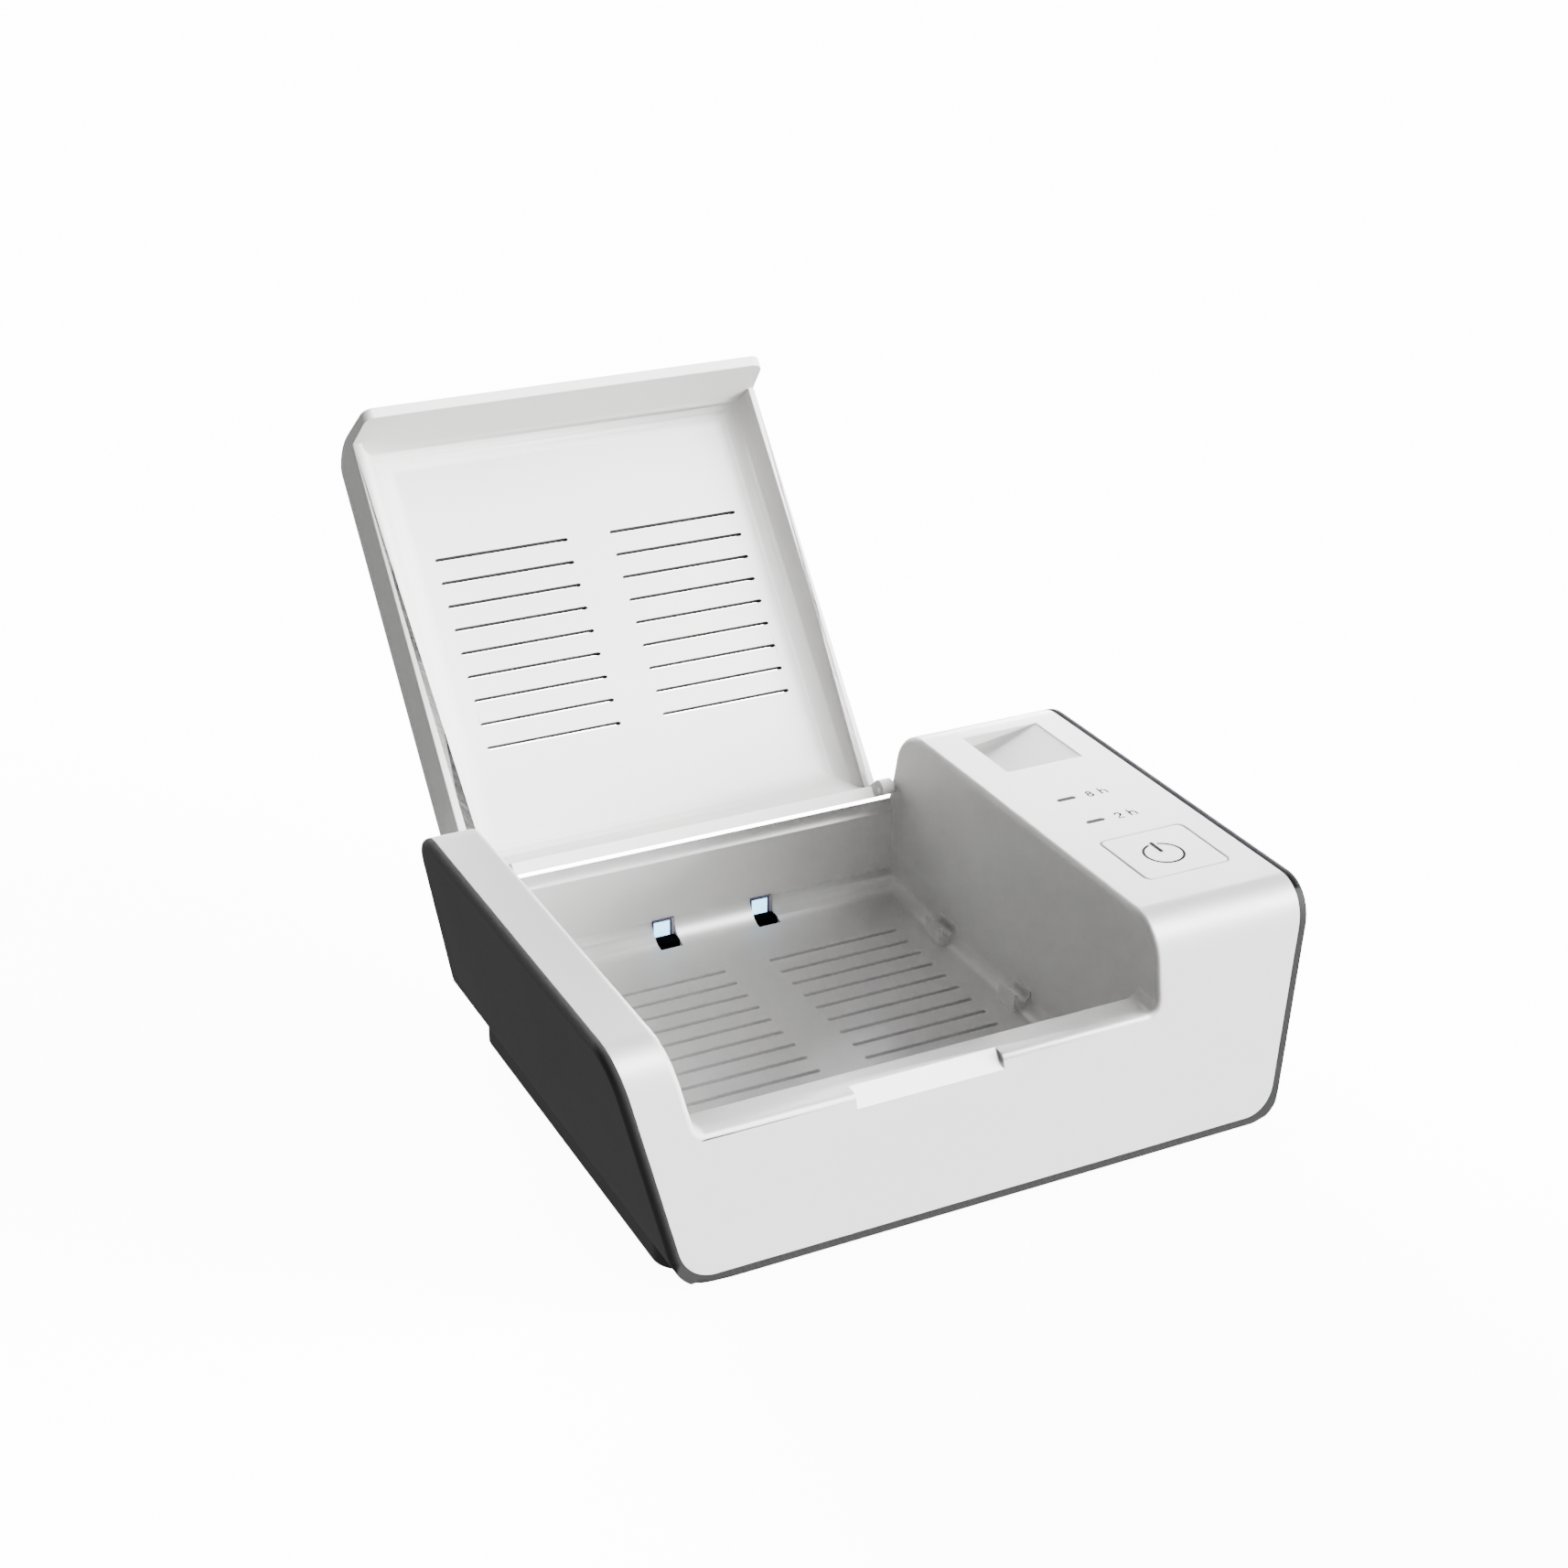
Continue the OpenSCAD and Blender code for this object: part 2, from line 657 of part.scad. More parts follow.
module light_pipes() {
  low = board_z + board_t + led_h + 0.3;
  color([0.9, 0.9, 0.9]) on_body() for (i = [0, 1])
    translate([led_at(i)[0], led_at(i)[1], low])
      linear_extrude(body_h - seat - low) pill(led_l, led_w);
}
module indicator_leds() {
  size = [3.2, 1.6, led_h];
  color([0.95, 0.9, 0.7]) on_body() for (i = [0, 1])
    translate([led_at(i)[0] - size[0] / 2, led_at(i)[1] - size[1] / 2, board_z + board_t])
      cube(size);
}

// UV pieces: a pale lens over an emitter in a black holder, on a strip board in the wall
uv_board_y = chamber_back + 1.5;
uv_board_t = 1;
uv_board_half = uv_pitch + 0.6;
uv_board_low = 0.6;
uv_board_high = floor_h + uv_h + 1;
module uv_board_room() {
  block([uv_x - uv_board_half - 1, uv_board_y - seat, -over],
    [uv_x + uv_board_half + 1, uv_board_y + uv_board_t + seat, uv_board_high + 0.3]);
}
module uv_board() {
  color(green) on_body() block([uv_x - uv_board_half, uv_board_y, uv_board_low],
    [uv_x + uv_board_half, uv_board_y + uv_board_t, uv_board_high]);
}
module uv_emitters() {
  color([0.9, 0.85, 0.6]) on_body() each_uv()
    block([-1.7, uv_board_y - 1, floor_h + 0.8], [1.7, uv_board_y - seat, floor_h + uv_h - 0.4]);
}
module uv_lenses() {
  color(violet_blue) on_body() each_uv()
    block([-uv_w / 2 + seat, chamber_back - 0.6, floor_h + 0.6],
      [uv_w / 2 - seat, uv_board_y - 1 - seat, floor_h + uv_h - seat]);
}
module uv_holders() {
  color(black) on_body() each_uv()
    block([-uv_w / 2 + seat, uv_front + 1.4, floor_h - floor_t],
      [uv_w / 2 - seat, uv_board_y - 1 - seat, floor_h + 0.6 - seat]);
}

// Fan over the duct in the right block
fan_x = x_right + wall + fan_w / 2 + 0.5;
fan_y = 0;
fan_z = 9.5;
bore_r = fan_w / 2 - 0.8;
bearing_r = 1.4;
shaft_r = 0.5;
fan_hub_r = 3.4;
strut_t = 1.2;
blade_d = 5.2;
blade_lean = 38;
module fan_frame() {
  color(black) on_body() translate([fan_x, fan_y, fan_z]) difference() {
    translate([-fan_w / 2, -fan_w / 2, 0]) cube([fan_w, fan_w, fan_t]);
    // The bore leaves four struts and the bearing's seat
    difference() {
      translate([0, 0, -over]) cylinder(h = fan_t + 2 * over, r = bore_r);
      translate([0, 0, -over]) cylinder(h = over + strut_t, r = fan_hub_r - 0.2);
      cylinder(h = 2 * strut_t, r = bearing_r + 0.5);
      for (a = [45:90:315]) rotate([0, 0, a])
        translate([0, -0.5, -over]) cube([fan_w, 1, over + strut_t]);
    }
    translate([0, 0, -2 * over]) cylinder(h = fan_t, r = bearing_r + seat);
    block([-fan_w, -fan_w, -2 * over], [fan_w, fan_w, 0]);
  }
}
module fan_bearing() {
  color(steel) on_body() translate([fan_x, fan_y, fan_z + 0.2]) difference() {
    cylinder(h = 3.2, r = bearing_r);
    translate([0, 0, 0.6]) cylinder(h = 4, r = shaft_r + run);
  }
}
module fan_rotor() {
  color([0.12, 0.12, 0.13]) on_body() translate([fan_x, fan_y, fan_z]) {
    difference() {
      translate([0, 0, strut_t + 0.3]) cylinder(h = fan_t - 2, r = fan_hub_r);
      translate([0, 0, strut_t + 0.3 - over]) cylinder(h = over + fan_t - 3.5, r = fan_hub_r - 0.7);
    }
    translate([0, 0, 0.9]) cylinder(h = fan_t - 2, r = shaft_r);
    for (i = [0:fan_blades - 1]) rotate([0, 0, i * 360 / fan_blades])
      translate([fan_hub_r - 0.2, 0, fan_t / 2 + 0.4]) rotate([blade_lean, 0, 0])
        translate([0, -blade_d / 2, -0.3]) cube([bore_r - fan_hub_r - 0.5, blade_d, 0.6]);
  }
}

// Duct under the fan, open to the hollow foot and the slots over it
duct_low = 1.4;
duct_t = 0.8;
heater_t = 1.4;
fin_h = 2.6;
fin_t = 0.5;
fin_pitch = 1.6;
fin_l = 12;
heater_z = duct_low + duct_t + 0.2 + fin_h;
module air_duct() {
  half = fan_w / 2;
  x0 = fan_x - half - 0.4;
  x1 = fan_x + half - 0.4;
  t = duct_t;
  color([0.3, 0.3, 0.3]) on_body() difference() {
    block([x0, fan_y - half, duct_low], [x1, fan_y + half, fan_z - seat]);
    block([x0 + t, fan_y - half + t, duct_low + t], [x1 - t, fan_y + half - t, fan_z + over]);
    block([x0 + t, fan_y - half + t, duct_low - over],
      [half_w_at(0) - 10, fan_y + half - t, duct_low + 2 * t]);
  }
}
module ptc_heater() {
  color([0.85, 0.8, 0.7]) on_body()
    block([fan_x - 6.5, fan_y - fan_w / 2 + duct_t + seat, heater_z],
      [fan_x + 6, fan_y + fan_w / 2 - duct_t - seat, heater_z + heater_t]);
}
module heater_fins() {
  color(steel) on_body() for (i = [0:7], s = [0, 1])
    translate([fan_x - 6 + i * fin_pitch, fan_y - fin_l / 2, heater_z + [-fin_h, heater_t][s]])
      cube([fin_t, fin_l, fin_h]);
}
sensor_r = 0.9;
module temp_sensor() {
  color([0.2, 0.15, 0.1]) on_body() translate([x_right - 8, 0, sensor_r])
    rotate([0, 90, 0]) cylinder(h = 5, r = sensor_r);
}
module usb_socket() {
  color(steel) on_body() difference() {
    along_y(usb_y - usb_l + 1, usb_y + 1) translate([usb_x, usb_z]) pill(usb_w, usb_t);
    along_y(usb_y - usb_l + 2, usb_y + 2) translate([usb_x, usb_z]) difference() {
      pill(usb_w - 0.8, usb_t - 0.8);
      square([6.2, 0.7], center = true);
    }
  }
}
module usb_board() {
  color(green) on_body() block([usb_x - 7, usb_y - usb_l - 7, usb_z - usb_t / 2 - 1],
    [usb_x + 6, usb_y - 1.6, usb_z - usb_t / 2]);
}

outer_cradle();
upper_housing();
lid();
hinge_pins();
base_foot();
foot_pads();
base_screws();
power_button();
push_switch();
main_board();
control_chip();
light_pipes();
indicator_leds();
uv_lenses();
uv_emitters();
uv_board();
uv_holders();
fan_frame();
fan_bearing();
fan_rotor();
ptc_heater();
heater_fins();
air_duct();
temp_sensor();
usb_socket();
usb_board();
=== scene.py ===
"""Looks of the hearing aid dryer: soft-edged housing, cradle and lid, with the controls' marks."""
import math

import bmesh
import bpy
from mathutils import Matrix, Vector


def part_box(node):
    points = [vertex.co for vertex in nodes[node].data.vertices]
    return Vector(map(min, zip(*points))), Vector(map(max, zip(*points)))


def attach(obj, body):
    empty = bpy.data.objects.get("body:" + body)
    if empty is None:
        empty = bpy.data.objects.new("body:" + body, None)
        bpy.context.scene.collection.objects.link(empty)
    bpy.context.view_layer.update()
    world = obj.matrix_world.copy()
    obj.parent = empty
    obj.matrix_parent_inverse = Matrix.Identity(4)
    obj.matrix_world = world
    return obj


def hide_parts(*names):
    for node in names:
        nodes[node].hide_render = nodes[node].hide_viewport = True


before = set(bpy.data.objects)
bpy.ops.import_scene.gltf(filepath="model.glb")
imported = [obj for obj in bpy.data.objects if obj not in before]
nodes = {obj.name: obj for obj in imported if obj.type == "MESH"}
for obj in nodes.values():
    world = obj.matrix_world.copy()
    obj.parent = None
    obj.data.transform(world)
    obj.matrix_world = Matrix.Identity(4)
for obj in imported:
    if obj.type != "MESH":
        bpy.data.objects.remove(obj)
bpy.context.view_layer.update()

# Dimensions of the dryer
# Sizes are in mm and angles in degrees. Z starts at the housing's bottom edge, BASE_Z over the table.
MM = 0.001
BASE_Z = 5.0
LIFT = Vector((0, 0, BASE_Z))
BODY_W, BODY_D, BODY_H = 125.0, 86.7, 38.2
SIDE_SLOPE = math.tan(math.radians(12))
FRONT_LEAN, BACK_LEAN = math.radians(9.5), math.radians(10.3)
FRONT_R, BACK_R = 8.0, 9.5
FRONT_TOP = -(BODY_D + BODY_H * (math.tan(BACK_LEAN) - math.tan(FRONT_LEAN))) / 2
BACK_TOP = FRONT_TOP + BODY_D
SHELL_T = 1.6
# The mouth between the blocks: its walls, the lip in front, and the reach of its rounded corners
MOUTH_LEFT, MOUTH_RIGHT = -54.0, 32.7
LIP_H = 23.0
MOUTH_CORNER = 2.5
# The lid's hinge, and the slots through its panel
HINGE_UP, HINGE_IN = 1.7, 1.1
LID_OPEN = math.radians(130)
VENT_DEPTH = 2.3
VENT_ROWS, VENT_PITCH, VENT_W = 9, 4.73, 1.0
VENT_X, VENT_Y = -8.8, FRONT_TOP + 24.6
VENT_REACH = 32.0
# Share of their width to which the slots are drawn together, as in the photo
SLOT_SHARE = 0.66
# Distance from a plane within which a point lies on it
NEAR = 0.1


def front_at(z):
    return FRONT_TOP - (BODY_H - z) * math.tan(FRONT_LEAN)


def back_at(z):
    return BACK_TOP + (BODY_H - z) * math.tan(BACK_LEAN)


def lean_in(z):
    """How far a leaning side stands in from its place at the top."""
    return (BODY_H - z) * SIDE_SLOPE


HINGE = Vector((0, back_at(LIP_H + HINGE_UP) - HINGE_IN, LIP_H + HINGE_UP))


def toward(azimuth, elevation):
    """A direction, with its azimuth from +X toward +Y."""
    az, el = math.radians(azimuth), math.radians(elevation)
    return Vector((math.cos(el) * math.cos(az), math.cos(el) * math.sin(az), math.sin(el)))


def new_object(name, data):
    ob = bpy.data.objects.new(name, data)
    bpy.context.scene.collection.objects.link(ob)
    return ob


# Materials
# The sockets of a mix node share their names, so they go by number
FLOAT_A, FLOAT_B, FLOAT_OUT = 2, 3, 0
COLOR_A, COLOR_B, COLOR_OUT = 6, 7, 2
# Noise scales in waves per metre, and bump depths in metres
DRIFT_SCALE, GLOW_SCALE, LINE_SCALE = 38.0, 220.0, 3000.0
GRAIN_DEPTH, LINE_DEPTH = 0.0002, 0.00005
# How far roughness and glow drift, and how strong and how long a drawn metal's lines are
PLASTIC_DRIFT, METAL_DRIFT, GLOW_DRIFT = 0.05, 0.08, 0.06
LINE_BUMP, LINE_STRETCH = 0.15, 0.05


def opaque(color):
    return list(color) + [1.0]


def new_material(name):
    mat = bpy.data.materials.new(name)
    mat.use_nodes = True
    nt = mat.node_tree
    return mat, nt, nt.nodes["Principled BSDF"]


def noise(nt, vector, scale, detail=2.0):
    """Height of a noise over the given coordinates."""
    tex = nt.nodes.new("ShaderNodeTexNoise")
    tex.inputs["Scale"].default_value = scale
    tex.inputs["Detail"].default_value = detail
    nt.links.new(vector, tex.inputs["Vector"])
    return tex.outputs["Fac"]


def spread(nt, value, low, high, socket):
    """Lays a value out between two limits and feeds it to a socket."""
    ramp = nt.nodes.new("ShaderNodeMapRange")
    ramp.inputs["To Min"].default_value = low
    ramp.inputs["To Max"].default_value = high
    nt.links.new(value, ramp.inputs["Value"])
    nt.links.new(ramp.outputs["Result"], socket)


def bump(nt, height, strength, depth, bsdf):
    node = nt.nodes.new("ShaderNodeBump")
    node.inputs["Strength"].default_value = strength
    node.inputs["Distance"].default_value = depth
    nt.links.new(height, node.inputs["Height"])
    nt.links.new(node.outputs["Normal"], bsdf.inputs["Normal"])


def plastic(name, color, rough=0.45, grain=0.02, scale=9000.0, mottle=0.02, spec=0.5):
    """Moulded plastic: a fine spark grain as bump, and a slow drift of tone and roughness."""
    mat, nt, bsdf = new_material(name)
    place = nt.nodes.new("ShaderNodeTexCoord").outputs["Object"]
    slow = noise(nt, place, DRIFT_SCALE, detail=3.0)
    spread(nt, slow, rough - PLASTIC_DRIFT, rough + PLASTIC_DRIFT, bsdf.inputs["Roughness"])
    tint = nt.nodes.new("ShaderNodeMix")
    tint.data_type = "RGBA"
    tint.inputs[COLOR_A].default_value = opaque(c * (1 - mottle) for c in color)
    tint.inputs[COLOR_B].default_value = opaque(color)
    nt.links.new(slow, tint.inputs["Factor"])
    nt.links.new(tint.outputs[COLOR_OUT], bsdf.inputs["Base Color"])
    bump(nt, noise(nt, place, scale), grain, GRAIN_DEPTH, bsdf)
    bsdf.inputs["Specular IOR Level"].default_value = spec
    return mat


def metal(name, color, rough=0.3):
    """Drawn metal, with fine lines along its length as bump."""
    mat, nt, bsdf = new_material(name)
    stretch = nt.nodes.new("ShaderNodeMapping")
    stretch.inputs["Scale"].default_value = (LINE_STRETCH, 1.0, 1.0)
    place = nt.nodes.new("ShaderNodeTexCoord").outputs["Object"]
    nt.links.new(place, stretch.inputs["Vector"])
    lines = noise(nt, stretch.outputs["Vector"], LINE_SCALE, detail=3.0)
    bump(nt, lines, LINE_BUMP, LINE_DEPTH, bsdf)
    spread(nt, lines, rough - METAL_DRIFT, rough + METAL_DRIFT, bsdf.inputs["Roughness"])
    bsdf.inputs["Base Color"].default_value = opaque(color)
    bsdf.inputs["Metallic"].default_value = 1.0
    return mat


def glowing(name, color, strength):
    """A lit window, whose glow drifts a little from place to place."""
    mat, nt, bsdf = new_material(name)
    place = nt.nodes.new("ShaderNodeTexCoord").outputs["Object"]
    low, high = strength * (1 - GLOW_DRIFT), strength * (1 + GLOW_DRIFT)
    spread(nt, noise(nt, place, GLOW_SCALE), low, high, bsdf.inputs["Emission Strength"])
    bsdf.inputs["Emission Color"].default_value = opaque(color)
    bsdf.inputs["Base Color"].default_value = opaque(color)
    bsdf.inputs["Roughness"].default_value = 0.25
    return mat


OFF_WHITE = (0.46, 0.457, 0.45)
WHITE = plastic("white_abs", OFF_WHITE, rough=0.46, grain=0.05, scale=5200.0, mottle=0.015)
LID = plastic("lid_abs", OFF_WHITE, rough=0.5, grain=0.06, scale=5200.0, mottle=0.015)
DARK = plastic("graphite", (0.025, 0.025, 0.0255), rough=0.6, grain=0.06, scale=6000.0,
               mottle=0.06, spec=0.3)
BLACK = plastic("foot_black", (0.012, 0.012, 0.012), rough=0.55, grain=0.08, scale=4000.0,
                mottle=0.1)
RUBBER = plastic("rubber", (0.016, 0.016, 0.016), rough=0.8, grain=0.15, scale=3000.0, mottle=0.15)
INNER = plastic("inner_black", (0.02, 0.02, 0.021), rough=0.5, grain=0.05, mottle=0.08)
BOARD = plastic("board_green", (0.010, 0.075, 0.030), rough=0.32, grain=0.1, scale=2200.0,
                mottle=0.3)
CLEAR = plastic("pipe_smoked", (0.022, 0.022, 0.023), rough=0.6, grain=0.01, spec=0.12)
# Painted shade: a darker grey for the walls of the lid's slots, standing in for the shade inside them
SLOT_SHADE = plastic("slot_wall_painted_shade", (0.075, 0.075, 0.072), rough=0.7, grain=0.05, spec=0.1)
CERAMIC = plastic("ceramic", (0.55, 0.50, 0.42), rough=0.7, grain=0.12, scale=2500.0, mottle=0.12)
LAMP = plastic("lamp", (0.75, 0.68, 0.40), rough=0.3, grain=0.03)
INK = plastic("mark_ink", (0.016, 0.016, 0.017), rough=0.8, grain=0.02, spec=0.05)
STEEL = metal("steel", (0.62, 0.63, 0.65), 0.28)
FINS = metal("fins", (0.78, 0.79, 0.80), 0.35)
UV = glowing("uv_face", (0.30, 0.68, 1.0), 4.0)
# Painted shade: the lens holders are dark plastic, made near black and glossless beyond that, so the
# pits under the lenses read as deep shade
PIT_SHADE = plastic("uv_pit_painted_shade", (0.002, 0.002, 0.002), rough=0.8, grain=0.02, spec=0.0)
SIDE = plastic("uv_side", (0.050, 0.045, 0.085), rough=0.5, grain=0.02, spec=0.2)
JAMB = plastic("uv_jamb", (0.26, 0.25, 0.30), rough=0.5, grain=0.02, spec=0.3)

LOOK = {
    "upper_housing": WHITE, "lid": LID, "outer_cradle": DARK, "base_foot": BLACK,
    "foot_pads": RUBBER, "hinge_pins": STEEL, "base_screws": STEEL, "power_button": WHITE,
    "push_switch": INNER, "main_board": BOARD, "control_chip": INNER, "light_pipes": CLEAR,
    "indicator_leds": LAMP, "uv_lenses": UV, "uv_emitters": LAMP, "uv_board": BOARD,
    "uv_holders": PIT_SHADE, "fan_frame": INNER, "fan_bearing": STEEL, "fan_rotor": INNER,
    "ptc_heater": CERAMIC, "heater_fins": FINS, "air_duct": INNER, "temp_sensor": INNER,
    "usb_socket": STEEL, "usb_board": BOARD,
}
for name, ob in nodes.items():
    ob.data.materials.clear()
    ob.data.materials.append(LOOK[name])


# Soft edges
# Points closer than WELD, in metres, are one, and faces within FLAT are one face.
# Only edges that bend by SHARP or more are rounded, and the shading breaks where faces bend by SPLIT.
WELD = 2e-6
FLAT, SHARP, SPLIT = math.radians(0.4), math.radians(24), math.radians(38)
# How far the shading follows a corner's large faces, of 100
FLATNESS = 90


def weigh_edges(bm, rule, widest):
    """Gives each sharp edge its share of the widest radius."""
    layer = bm.edges.layers.float.new("bevel_weight_edge")
    for edge in bm.edges:
        if len(edge.link_faces) != 2:
            continue
        bend = edge.calc_face_angle_signed(0.0)
        if abs(bend) < SHARP:
            continue
        a, b = (v.co / MM - LIFT for v in edge.verts)
        edge[layer] = min(1.0, max(0.0, rule(a, b, bend) / widest))


def soften(node, body, rule, material, widest, segments=4, shape=None):
    """A copy of a node's mesh with rounded edges.

    rule gives the radius of a sharp edge from its two ends and its bend, which is positive where
    the edge stands out. shape, if given, first moves the mesh's points.
    """
    bm = bmesh.new()
    bm.from_mesh(nodes[node].data)
    bmesh.ops.remove_doubles(bm, verts=bm.verts, dist=WELD)
    bmesh.ops.dissolve_limit(bm, angle_limit=FLAT, use_dissolve_boundaries=False,
                             verts=bm.verts, edges=bm.edges)
    bmesh.ops.recalc_face_normals(bm, faces=bm.faces)
    if shape:
        for v in bm.verts:
            v.co = (shape(v.co / MM - LIFT) + LIFT) * MM
    weigh_edges(bm, rule, widest)
    me = bpy.data.meshes.new(node + "_soft")
    bm.to_mesh(me)
    bm.free()
    ob = new_object(node + "_soft", me)
    mod = ob.modifiers.new("round", "BEVEL")
    mod.limit_method = "WEIGHT"
    mod.width = widest * MM
    mod.segments = segments
    mod.use_clamp_overlap = False
    mod.loop_slide = True
    done = bpy.data.meshes.new_from_object(
        ob.evaluated_get(bpy.context.evaluated_depsgraph_get()))
    ob.modifiers.clear()
    ob.data = done
    done.materials.clear()
    done.materials.append(material)
    for face in done.polygons:
        face.use_smooth = True
    done.set_sharp_from_angle(angle=SPLIT)
    wn = ob.modifiers.new("flat", "WEIGHTED_NORMAL")
    wn.keep_sharp = True
    wn.weight = FLATNESS
    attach(ob, body)
    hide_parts(node)
    return ob


def both(a, b, test):
    return test(a) and test(b)


def from_hinge(p):
    """Distance of a point from the hinge's axis."""
    return math.hypot(p.y - HINGE.y, p.z - HINGE.z)


# How near to the outline a point of the housing or the cradle lies on it
HOUSING_NEAR, CRADLE_NEAR = 0.06, 0.12
# How near to a rounded edge's arc a point lies on it, and how far past the arc's ends
ARC_NEAR, ARC_SLACK = 0.12, 0.3


def on_outline(p, near=HOUSING_NEAR):
    """Whether a point lies on the front, top or back of the housing's outer form."""
    if p.z > BODY_H - near or p.y < front_at(p.z) + near or p.y > back_at(p.z) - near:
        return True
    # The rounded edges at the front and back of the top
    front, back = (FRONT_TOP, FRONT_LEAN, FRONT_R, 1), (BACK_TOP, BACK_LEAN, BACK_R, -1)
    for corner, lean, r, way in (front, back):
        y = p.y - corner - way * r / math.tan((math.radians(90) + lean) / 2)
        z = p.z - BODY_H + r
        in_arc = way * y <= ARC_SLACK and z >= -r * math.sin(lean) - ARC_SLACK
        if in_arc and abs(math.hypot(y, z) - r) < ARC_NEAR:
            return True
    return False


# Radii of the housing's edges at the mouth's sides, on the lip and round the controls
MOUTH_EDGE_R, LIP_EDGE_R, OPENING_EDGE_R = 1.0, 0.9, 0.15
# Span in X of the openings in the control block's top, and how far down their rims count
CONTROLS_LEFT, CONTROLS_RIGHT = 36.0, 59.0
OPENING_DEPTH = 0.3
# Distance from the hinge's axis up to which the bores' edges stay sharp
BORE_REACH = 1.5


def by_mouth_left(p):
    """Whether a point lies on the mouth's left wall or in its corner on the lip."""
    return -NEAR < p.x - MOUTH_LEFT - lean_in(p.z) < MOUTH_CORNER


def by_mouth_right(p):
    """Whether a point lies on the mouth's right wall or in its corner on the lip."""
    return -NEAR < MOUTH_RIGHT - p.x < MOUTH_CORNER


def housing_rule(a, b, bend):
    middle = (a + b) / 2
    if both(a, b, lambda p: from_hinge(p) < BORE_REACH):
        return 0.0
    # Edges between the mouth and the outer form, down to the lip
    if bend > 0 and both(a, b, on_outline):
        beside = both(a, b, by_mouth_left) or both(a, b, by_mouth_right)
        if beside and middle.z > LIP_H - NEAR:
            return MOUTH_EDGE_R
        if abs(middle.z - LIP_H) < NEAR and middle.x < MOUTH_RIGHT:
            return LIP_EDGE_R
    if middle.z > BODY_H - OPENING_DEPTH and CONTROLS_LEFT < middle.x < CONTROLS_RIGHT:
        return OPENING_EDGE_R
    return 0.0


soft_housing = soften("upper_housing", "base", housing_rule, WHITE, MOUTH_EDGE_R)

# Radii of the cradle's rim at its left and elsewhere, and where the one grows into the other
LEFT_RIM_R, RIM_R = 1.45, 0.4
GROWTH_X, GROWTH_L = -44.0, 8.0
# Half sides of the area that the foot hides
FOOT_HALF_X, FOOT_HALF_Y = 53.0, 46.0
# How far inside the side's plane, and how far over the bottom's, a point is on the outer face
SIDE_BAND, BOTTOM_BAND = 0.2, 0.7


def on_shell(p):
    """Whether a point lies on the cradle's outer face, at its sides or at its bottom."""
    side = BODY_W / 2 - lean_in(p.z) + SHELL_T
    return abs(p.x) > side - SIDE_BAND or p.z < BOTTOM_BAND - SHELL_T


def over_foot(p):
    """Whether a point lies on the cradle's underside, where the foot hides it."""
    return p.z < NEAR - SHELL_T and abs(p.x) < FOOT_HALF_X and abs(p.y) < FOOT_HALF_Y


def cradle_rule(a, b, bend):
    if bend <= 0 or not both(a, b, on_shell) or both(a, b, over_foot):
        return 0.0
    if both(a, b, lambda p: on_outline(p, CRADLE_NEAR)):
        growth = (GROWTH_X - (a.x + b.x) / 2) / GROWTH_L
        return RIM_R + (LEFT_RIM_R - RIM_R) * max(0.0, min(1.0, growth))
    return 0.0


soften("outer_cradle", "base", cradle_rule, DARK, LEFT_RIM_R, segments=5)

# Radii of the lid's edges and of its slots' edges
LID_EDGE_R, SLOT_EDGE_R = 0.18, 0.06
# Distance from the hinge's axis up to which the hubs' edges stay sharp
HUB_REACH = 2.6
# How far off its place a slot's wall still counts, and how upright it stands
SLOT_NEAR, SLOT_TILT = 0.02, 0.3


def swing(v, angle):
    """A vector turned about X, from +Y toward +Z."""
    return Vector((v.x, v.y * math.cos(angle) - v.z * math.sin(angle),
                   v.y * math.sin(angle) + v.z * math.cos(angle)))


def closed(p):
    """A point of the open lid, turned back to where it lies when the lid is shut."""
    return HINGE + swing(p - HINGE, LID_OPEN)


def in_vents(p):
    """Whether a point of the shut lid lies in the field of slots through its panel."""
    row = (p.y - VENT_Y) / VENT_PITCH
    in_row = abs(p.x - VENT_X) < VENT_REACH and 0 <= round(row) < VENT_ROWS
    return in_row and p.z > BODY_H - VENT_DEPTH


def lid_rule(a, b, bend):
    a, b = closed(a), closed(b)
    if bend <= 0 or both(a, b, lambda p: from_hinge(p) < HUB_REACH):
        return 0.0
    return SLOT_EDGE_R if both(a, b, in_vents) else LID_EDGE_R


def slim_slots(p):
    """Draws the walls of the lid's slots together."""
    shut = closed(p)
    away = shut.y - VENT_Y - round((shut.y - VENT_Y) / VENT_PITCH) * VENT_PITCH
    if not in_vents(shut) or abs(away) > VENT_W / 2 + SLOT_NEAR:
        return p
    return p - swing(Vector((0, away * (1 - SLOT_SHARE), 0)), -LID_OPEN)


soft_lid = soften("lid", "lid_body", lid_rule, LID, LID_EDGE_R, segments=3, shape=slim_slots)
# The slots' walls get a darker material: painted shade inside the slots
soft_lid.data.materials.append(SLOT_SHADE)
for face in soft_lid.data.polygons:
    upright = abs(swing(face.normal, LID_OPEN).z) < SLOT_TILT
    if upright and in_vents(closed(face.center / MM - LIFT)):
        face.material_index = 1

BUTTON_EDGE_R = 0.2


def button_rule(a, b, bend):
    return BUTTON_EDGE_R if bend > 0 and both(a, b, lambda p: p.z > BODY_H - NEAR) else 0.0


soft_button = soften("power_button", "button_body", button_rule, WHITE, BUTTON_EDGE_R, segments=3)


# Windows
SLAB_EDGE_R = 0.05


